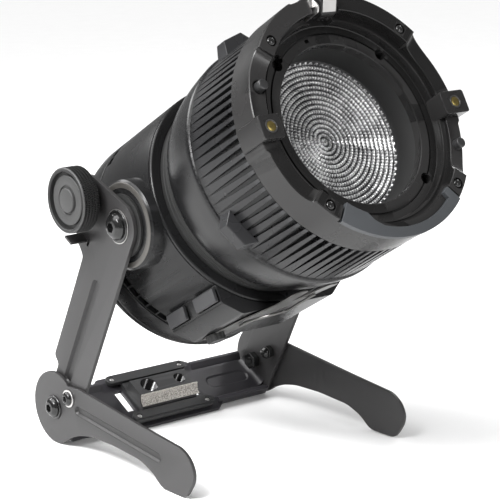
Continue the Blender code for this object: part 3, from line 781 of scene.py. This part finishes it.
def make_optics():
    """Stepped lens, the matt cone before it and the bead that holds it."""
    steps = 240
    radius = 0.0
    low = LENS_Z - 5
    rows = [circle(0.01, low, steps)]
    while radius < BORE_R - 2.4:
        inner = radius
        radius += RING_PITCH
        for share, lift in ((0.06, 0.2), (0.2, 1.5), (0.42, 1.9), (0.75, 1.0), (0.97, 0.0)):
            r = inner + RING_PITCH * share
            base = low + 7 * (r / BORE_R) ** 1.6
            rows.append(circle(r, base + lift, steps))
    for rim_radius, height in ((BORE_R - 0.2, LENS_Z + 2.4), (BORE_R - 0.2, LENS_Z - 6.5),
                               (0.01, LENS_Z - 6.5)):
        rows.append(circle(rim_radius, height, steps))
    make("lens_face", *grid(rows), LAMP, "head", "lens", 60, node="lens")
    cone = [(BORE_R + 1.6, 158.5), (BORE_R + 0.1, 158.5), (BORE_R - 0.6, 141),
            (BORE_R - 1.2, 138.3), (BORE_R - 0.6, 137.4), (BORE_R + 1.6, 137.4)]
    turned("beam_cone", cone, LAMP, "head", "matt", soft=0.3, node="baffle_cone")
    rows = []
    teeth = 72
    for radius, height in ((BORE_R - 0.5, 139.5), (BORE_R - 2.6, 139.2), (BORE_R - 2.8, 137.6),
                           (BORE_R - 0.5, 137.4)):
        row = []
        for j in range(teeth):
            for share, out in ((0.02, 0), (0.48, 0), (0.52, 1), (0.98, 1)):
                grow = 1.1 * out if radius < BORE_R - 1 else 0.0
                row.append(polar(radius + grow, 360 * (j + share) / teeth, height))
        rows.append(row)
    make("lens_bead", *grid(rows, wrap_rows=True), LAMP, "head", "rail", 30, slot="matt_black")


def make_tilt_discs():
    """Bearing discs at the sides of the shell, each with a lighter band on its face as a painted
    highlight.
    """
    for name, sign in SIDES:
        place = along_x(sign, LAMP)
        profile = [(5.3, 97.6), (31.6, 97.6), (32.6, 97.0), (33.2, 96.2), (34, 95.6), (34, 70),
                   (5.3, 70)]
        disc = turned("bearing_disc_" + name, profile, place, steps=128, soft=0.2)
        combine(disc, [cylinder("core", SHELL_R - 0.1, -60, 60, LAMP, 128)])
        dress(disc, "head", "housing", 25, 0.4, node="tilt_disc_" + name)
        # A lighter grey band on the face stands in for the highlight along the disc's edge: a
        # painted highlight.
        profile = [(24.6, 97.4), (31.4, 97.8), (32.3, 97.4), (32.3, 96.9), (24.6, 96.9)]
        turned("bearing_painted_highlight_" + name, profile, place, "head", "disc", steps=128, soft=0.1)


def make_underside():
    """Accessory bracket, its pads, thumb screw and spring clip."""
    section = soften([(-60, -62), (-60, -79), (-44, -90.5), (44, -90.5), (60, -79), (60, -62)], 2)
    bracket = plate("bracket", section, -38, 32, LAMP)
    tools = [cylinder("core", SHELL_R - 0.1, -60, 60, LAMP, 128)]
    for low, high in ((2.2, 31.2), (-35.8, -10.2)):
        tools.append(box("pad_seat", (-63, -77.6, low), (-59, -66.2, high), LAMP))
    combine(bracket, tools)
    dress(bracket, "head", "housing", 28, 0.6, node="under_bracket")
    for name, low, high in (("front", 3, 30.4), ("rear", -35, -11)):
        outline = soften([(-77.2, low), (-66.6, low), (-66.6, high), (-77.2, high)], 1)
        plate("pad_" + name, outline, -63.4, -60.6, LAMP @ SIDE, "head", "pad", 0.5,
              node="side_pad_" + name)
    place = LAMP @ shift(x=-36, z=-20) @ turn(90, "X")
    lobes = [flat_polar(6.6 + 0.9 * abs(math.cos(math.radians(15 * j))), 3.75 * j)
             for j in range(96)]
    plate("thumb_grip", lobes, 90.8, 97, place, "thumb_screw", "rubber", 0.6, node="thumb_screw")
    make_clip()


def make_clip():
    """Flat spring with a wire loop, under the bracket."""
    outline = [(-42, -30), (-30, -36), (-20, -30), (-16, -6), (-10, 22), (2, 50), (11, 80), (7, 83),
               (0, 82), (-7, 60), (-12, 50), (-14, 76), (-22, 78), (-25, 70), (-24, 44), (-34, 20)]
    place = LAMP @ shift(y=-90.9) @ turn(91, "X")
    plate("clip_leaf", soften(outline, 3), 0, 1.1, place, "head", "clip", 0.2, node="spring_clip")
    loop = [(-30, -93.5, 6), (-34, -95, 22), (-30, -97, 36), (-20, -97.5, 42), (-10, -96.5, 40),
            (-4, -95, 48), (2, -93.5, 62)]
    wire("clip_wire", loop, 1.1, LAMP, "head", "clip")


# ---------------------------------------------------------------- yoke

def arm_outline():
    front_top = arc(0, PIVOT_Z, 19.5, 180, 95, 14)
    lobe = arc(KNOB_Y, KNOB_Z, 17.0, 85, -50, 12)
    return [
        (-24.5, 4), (-24.5, 60), *front_top, *lobe, *soften(
            [(46, 168), (40, 157), (27, 150), (25, 108), (23, 52), (15, 49), (15, 4)], 3,
            closed=False),
    ]


def rib_tool(start, end, half, depth, face, matrix, outward):
    """A stadium-shaped pressing with sloping sides, sunk into a face."""
    a, b = Vector(start), Vector(end)
    angle = math.degrees(math.atan2(b.y - a.y, b.x - a.x))
    points = []
    for grow, level in ((0.35, 2.0), (0.0, 0.0), (-1.6, -depth)):
        outline = arc(b.x, b.y, half + grow, angle - 90, angle + 90, 10)
        outline += arc(a.x, a.y, half + grow, angle + 90, angle + 270, 10)
        points.append([(x, y, face + outward * level) for x, y in outline])
    count = len(points[0])
    flat = points[0] + points[1] + points[2]
    faces = [tuple(range(count)), tuple(range(2 * count, 3 * count))]
    for level in (0, count):
        faces += walls(count, level)
    return make("rib", flat, faces, matrix)


def make_yoke():
    """Arms with pressed ribs, bent tab and the crossbar with raised edges."""
    inner = ARM_OUTER_X - ARM_SHEET
    for name, sign in SIDES:
        low, high = sorted((sign * inner, sign * ARM_OUTER_X))
        arm = plate("arm_" + name, arm_outline(), low, high, YOKE @ SIDE)
        tools = [
            rib_tool((3, 140), (0, 47), 4.6, 2.1, sign * ARM_OUTER_X, YOKE @ SIDE, sign),
            cylinder("pivot", 5.4, 90, 110, along_x(sign, YOKE, 0, PIVOT_Z)),
            cylinder("hub", 4.4, 90, 110, along_x(sign, YOKE, 0, HUB_Z)),
        ]
        if sign < 0:
            tools.append(cylinder("stud", 5.4, 90, 110, along_x(-1, YOKE, KNOB_Y, KNOB_Z)))
            tools.append(box("tab_slot", (-110, 24.5, 160.8), (-90, 27.2, 167.6), YOKE))
        combine(arm, tools)
        if sign < 0:
            tab = box("tab", (-ARM_OUTER_X - 15, 27.4, 163.2), (-ARM_OUTER_X + 2, 36.8, 165), YOKE)
            combine(arm, [tab], "UNION")
        arm.data.transform(arm.matrix_world)
        arm.matrix_world = Matrix.Identity(4)
        dress(arm, "yoke", "steel", 28, 0.45)
    make_crossbar(inner)


def make_crossbar(inner):
    """Crossbar with folded lips, bent ends, windows and holes."""
    plan = [
        (-45, -31), (45, -31), (52, -25.5), (inner + 0.5, -25.5), (inner + 0.5, 23), (52, 23),
        (45, 29), (-45, 29), (-52, 23), (-inner - 0.5, 23), (-inner - 0.5, -25.5), (-52, -25.5),
    ]
    bar = plate("crossbar", soften(plan, 1.5), 0, 3, YOKE)
    section = [(-25.5, 2), (-25.5, 6.2), (-24.8, 6.8), (-22.6, 6.8), (-18.2, 2.9), (-18.2, 2)]
    mirrored = [(-2.4 - y, z) for y, z in section]
    joins = []
    for name, sign in SIDES:
        low, high = sorted((sign * 47, sign * (inner + 0.5)))
        joins.append(plate("lip", section, low, high, YOKE @ SIDE))
        joins.append(plate("lip", mirrored, low, high, YOKE @ SIDE))
        bend = arc(inner - 6, 9, 6, -90, 0, 6)
        bend = [(inner - 6, 1), *bend, (inner + 0.4, 9), (inner + 0.4, 1)]
        outline = [(x * sign, z) for x, z in bend]
        joins.append(plate("bend", outline, -14, 18, YOKE @ turn(90, "X")))
    combine(bar, joins, "UNION")
    tools = []
    for low, high in ((-38, -30), (30, 38)):
        tools.append(box("window", (low, -12, -5), (high, 12, 10), YOKE))
    for x, radius in STAND_HOLES:
        tools.append(cylinder("hole", radius, -5, 25, YOKE @ shift(x=x), 48))
    for sign in (-1, 1):
        tools.append(rib_tool((sign * 58, -2), (sign * 88, -2), 7, 0.9, 3.0, YOKE, 1))
    combine(bar, tools)
    dress(bar, "yoke", "bar", 28, 0.4, node="yoke_frame")


def stadium(reach, middle, half):
    """Outline of a bar with round ends, centred on the yoke's middle plane."""
    return arc(reach, middle, half, -90, 90, 12) + arc(-reach, middle, half, 90, 270, 12)


def make_crossbar_fittings():
    """Quick-lock rails with their screws, the drilled block and its grip strip."""
    for name, low, high in (("front", -28.4, -18), ("rear", 17, 26)):
        middle, half = (low + high) / 2, (high - low) / 2
        outline = stadium(36, middle, half)
        rail = plate("rail_skin_" + name, outline, 5.0, 8.5, YOKE)
        foot = stadium(35.4, middle, half - 1.2)
        combine(rail, [plate("foot", foot, 3.1, 6, YOKE)], "UNION")
        tools = [cylinder("bore", 2.3, 7.6, 12, YOKE @ shift(x=x, y=middle)) for x in (-35, 35)]
        if name == "front":
            tools.append(box("step", (-60, low - 3, 7.5), (60, low + 2.0, 12), YOKE))
        combine(rail, tools)
        dress(rail, "yoke", "rail", 28, 0.35, node="rail_" + name)
        for number, x in enumerate((-35, 35)):
            profile = [(0, 8.2), (1.0, 8.15), (1.9, 7.8), (1.9, 7.2), (0, 7.2)]
            turned(f"rail_screw_{name}_{number}", profile, YOKE @ shift(x=x, y=middle), "yoke",
                   "bright", steps=24, soft=0.1)
    curve = arc(-19.5, 19.5, 11.4, -15, -70, 8)
    section = [(-16.8, 3.3), (16.5, 3.3), (16.5, 6.5), (8.5, 6.5), (8.5, 16.5), (-8.5, 16.5),
               *curve, (-16.8, 8.2)]
    block = plate("block", section, -28, 28, YOKE @ SIDE)
    tools = [cylinder("hole", radius, -5, 25, YOKE @ shift(x=x), 64) for x, radius in STAND_HOLES]
    combine(block, tools)
    dress(block, "yoke", "rail", 28, 0.4, node="mount_block")
    outer = arc(-19.5, 19.5, 11.1, -15, -70, 10)
    inner = arc(-19.5, 19.5, 9.9, -70, -15, 10)
    plate("grip_strip", outer + inner, -27.6, 30.5, YOKE @ SIDE, "yoke", "grip", 0.2,
          node="grip_pad")
    for name, radius, x in (("spigot", 7.55, -13.5), ("bolt", 5.25, 18)):
        make_thread(name, radius, x)


def make_thread(name, radius, x):
    """Fine rings that stand for the thread inside a hole."""
    profile = []
    turns = 9
    for i in range(turns):
        z = 4.5 + i * 1.25
        profile += [(radius - 0.05, z), (radius - 0.75, z + 0.62)]
    profile += [(radius - 0.05, 4.5 + turns * 1.25), (radius + 0.4, 4.5 + turns * 1.25),
                (radius + 0.4, 4.5)]
    turned("thread_" + name, profile, YOKE @ shift(x=x), "yoke", "fastener", steps=64, soft=0)


def make_pivots():
    """Tilt bolts with their washers."""
    for name, sign in SIDES:
        matrix = along_x(sign, PIVOT)
        seat = ARM_OUTER_X + 0.3
        profile = [(5.4, seat), (12.3, seat), (12.5, seat + 0.4), (12.5, seat + 1.0),
                   (11.9, seat + 1.5), (5.4, seat + 1.5)]
        turned("washer_" + name, profile, matrix, "yoke", "fastener", steps=64)
        profile = [(12.4, seat), (13.1, seat), (13.1, seat + 0.5), (12.4, seat + 0.5)]
        turned("washer_rim_" + name, profile, matrix, "yoke", "bright", steps=64, soft=0.1)
        button_bolt("tilt_bolt_" + name, matrix, seat + 1.6, 10.2, 90, "yoke", "pivot_bolt_" + name,
                    0.40, 64)


def make_knob():
    """Knurled hand knob with a sunk grey face and a raised centre."""
    matrix = along_x(-1, YOKE, KNOB_Y, KNOB_Z)
    ridges, rows = 180, []
    levels = [(4.6, 103.5), (13, 103.5), (14.4, 104.2), (15.4, 109.4), (23.0, 110.0), (24.4, 111.0)]
    for radius, z in levels:
        rows.append(circle(radius, z, ridges))
    for k in range(10):
        z = 111.6 + 11.6 * k / 9
        rows.append([polar(25.0 if (j + k // 2) % 2 else 23.9, 360 * j / ridges, z)
                     for j in range(ridges)])
    for radius, z in ((24.9, 124.0), (24.2, 124.9), (22.4, 125.0), (21.9, 124.6), (21.6, 121.6),
                      (4.6, 121.6)):
        rows.append(circle(radius, z, ridges))
    make("knob_skirt", *grid(rows, wrap_rows=True), matrix, "knob", "rubber", 30, node="tilt_knob")
    profile = [(22.5, 124.6), (24.3, 125.1), (24.9, 124.5), (24.7, 123.6), (23.5, 123.4)]
    turned("knob_lip", profile, matrix, "knob", "knob_face", steps=128, soft=0.15)
    profile = [(0, 124.9), (8.6, 124.8), (9.3, 124.2), (9.5, 122.3), (11.0, 122.3), (11.4, 123.5),
               (18.3, 123.6), (18.9, 123.1), (18.9, 121.9), (0, 121.9)]
    turned("knob_face_plate", profile, matrix, "knob", "knob_face", steps=128, soft=0.3,
           slot="grip_grey")


# ---------------------------------------------------------------- legs

def leg_outline():
    hub = arc(0, 0, HUB_R, 132, -120, 40)
    sole = soften([(-22, -20.5), (-34, -15.6), (-50, -12.6), (-80, -12), (-115, -14.5), (-130, -20),
                   (-142, -HUB_R), (-171, -HUB_R), (-180, -16), (-181.5, -8), (-177, 1),
                   (-167, 7.5), (-117, 12.6), (-62, 19), (-34, 22.2)], 5, closed=False)
    return [*hub, *sole]


def make_legs():
    for name, sign in SIDES:
        low, high = sorted((sign * LEG_INNER_X, sign * (LEG_INNER_X + LEG_SHEET)))
        leg = plate("leg_skin_" + name, leg_outline(), low, high, LEGS @ SIDE)
        outer = sign * (LEG_INNER_X + LEG_SHEET)
        tools = [rib_tool((-33, 4.5), (-138, -6.5), 3.8, 2.1, outer, LEGS @ SIDE, sign)]
        combine(leg, tools)
        dress(leg, "leg_" + name, "steel", 28, 0.45, node="leg_" + name)
        make_leg_bolts(name, sign)


def make_leg_bolts(name, sign):
    """Hub bolt, and the lock bolt that moves with the leg, with their washers and nuts."""
    outer = LEG_INNER_X + LEG_SHEET
    inner = ARM_OUTER_X - ARM_SHEET
    hub = along_x(sign, LEGS)
    profile = [(4.2, outer + 0.1), (9.6, outer + 0.1), (9.8, outer + 0.6), (9.4, outer + 1.3),
               (4.2, outer + 1.3)]
    turned("hub_washer_" + name, profile, hub, "yoke", "fastener", steps=48)
    button_bolt("hub_screw_" + name, hub, outer + 1.3, 8.0, inner - 7.4, "yoke",
                "hub_bolt_" + name, 0.42)
    nut("hub_nut_skin_" + name, hub, inner - 0.3, 7.4, 6.4, "yoke", "hub_nut_" + name)
    reach = LOCK_R * math.cos(math.radians(90 - LOCK_ANGLE - LEAN))
    rise = LOCK_R * math.sin(math.radians(90 - LOCK_ANGLE - LEAN))
    lock = along_x(sign, LEGS, -reach, rise)
    body = "leg_" + name
    profile = [(3.4, outer + 0.1), (7.0, outer + 0.1), (7.2, outer + 0.5), (7.0, outer + 1.1),
               (3.4, outer + 1.1)]
    turned("lock_washer_" + name, profile, lock, body, "bright", steps=40, soft=0.2)
    button_bolt("lock_screw_" + name, lock, outer + 1.1, 5.6, inner - 6, body,
                "lock_bolt_" + name, 0.45, 36)
    nut("lock_nut_skin_" + name, lock, inner - 0.3, 5.8, 5.0, body, "lock_nut_" + name, dome=True)


# ---------------------------------------------------------------- rest of the scene

def dress_inner_nodes():
    """Finish for the CAD pieces that stay as they are."""
    looks = {
        "friction_disc_left": "rubber", "friction_disc_right": "rubber", "brake_shoe": "bright",
        "knob_stud": "fastener", "carriage": "bright", "led_module": "led", "heat_sink": "bright",
        "guide_rod_left": "bright", "guide_rod_right": "bright", "battery_pack": "battery",
        "driver_board": "board", "lens_cell": "matt",
    }
    for name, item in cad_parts.items():
        if item.hide_render:
            continue
        item.data.materials.clear()
        item.data.materials.append(M[looks[name]])
        item.data.shade_smooth()
        item.data.set_sharp_from_angle(angle=math.radians(35))


def make_stage():
    """Pale floor, soft boxes and an even pale surround."""
    size = 6.0
    mesh = bpy.data.meshes.new("floor")
    z = CAD_BOX[0].z - FLOOR_GAP
    mesh.from_pydata([(-size, -size, z), (size, -size, z), (size, size, z), (-size, size, z)], [],
                     [(0, 1, 2, 3)])
    floor = add("floor", mesh)
    material = finish("floor_paper", (0.95, 0.95, 0.95), 0.8, grain=300, bump=0.02, spread=0.01)
    mesh.materials.append(material)
    world = bpy.data.worlds.new("surround")
    bpy.context.scene.world = world
    bpy.context.scene.view_settings.view_transform = "Standard"
    world.use_nodes = True
    tree = world.node_tree
    sky = tree.nodes["Background"]
    sky.inputs["Color"].default_value = (1.0, 1.0, 1.0, 1.0)
    seen = tree.nodes.new("ShaderNodeLightPath").outputs["Is Camera Ray"]
    strength = tree.nodes.new("ShaderNodeMapRange")
    strength.inputs["To Min"].default_value = 0.28
    strength.inputs["To Max"].default_value = 1.0
    tree.links.new(seen, strength.inputs["Value"])
    tree.links.new(strength.outputs["Result"], sky.inputs["Strength"])
    sun = bpy.data.lights.new("even_light", "SUN")
    sun.energy = 2.7
    sun.angle = math.radians(50)
    item = add("even_light", sun)
    item.rotation_euler = (math.radians(-12), math.radians(-28), 0)
    softbox("key", (-1.15, -0.35, 1.25), 0.7, 0.4, 36)
    softbox("back", (-0.5, 1.2, 1.1), 0.9, 0.5, 14)
    softbox("front", (0.2, -1.7, 0.75), 0.35, 0.9, 10)
    softbox("rim", (1.3, 0.2, 0.8), 0.25, 0.9, 7)


def softbox(name, place, width, height, power):
    light = bpy.data.lights.new(name, "AREA")
    light.shape = "RECTANGLE"
    light.size = width
    light.size_y = height
    light.energy = power
    item = add(name, light)
    item.location = place
    aim = Vector((0.0, -0.1, 0.15)) - Vector(place)
    item.rotation_euler = aim.to_track_quat("-Z", "Y").to_euler()


AZIMUTH = -39.26
ELEVATION = 12.42
ROLL = -0.61
CAMERA_LENS = 128.07
CAMERA_DISTANCE = 1378.6
AIM_RIGHT = -17.62
AIM_UP = 32.3


def make_camera():
    """Long lens to the left of the beam, a little above the stand."""
    a, e = math.radians(AZIMUTH), math.radians(ELEVATION)
    back = Vector((math.sin(a) * math.cos(e), -math.cos(a) * math.cos(e), math.sin(e)))
    level = Vector((math.cos(a), math.sin(a), 0))
    spin = Matrix.Rotation(math.radians(ROLL), 3, back)
    right = spin @ level
    up = spin @ back.cross(level)
    pivot = PIVOT.translation
    camera = bpy.data.cameras.new("camera")
    camera.lens = CAMERA_LENS
    camera.sensor_width = 36.0
    camera.clip_end = 50.0
    item = add("camera", camera)
    place = pivot + (back * CAMERA_DISTANCE - right * AIM_RIGHT - up * AIM_UP) * MM
    facing = Matrix((right, up, back)).transposed().to_4x4()
    item.matrix_world = Matrix.Translation(place) @ facing
    bpy.context.scene.camera = item


def main():
    make_camera()
    make_stage()
    make_shell()
    make_rear()
    make_tube()
    make_zoom_ring()
    make_bezel()
    make_latch()
    make_optics()
    make_tilt_discs()
    make_underside()
    make_yoke()
    make_crossbar_fittings()
    make_pivots()
    make_knob()
    make_legs()
    dress_inner_nodes()


main()
bpy.context.view_layer.update()
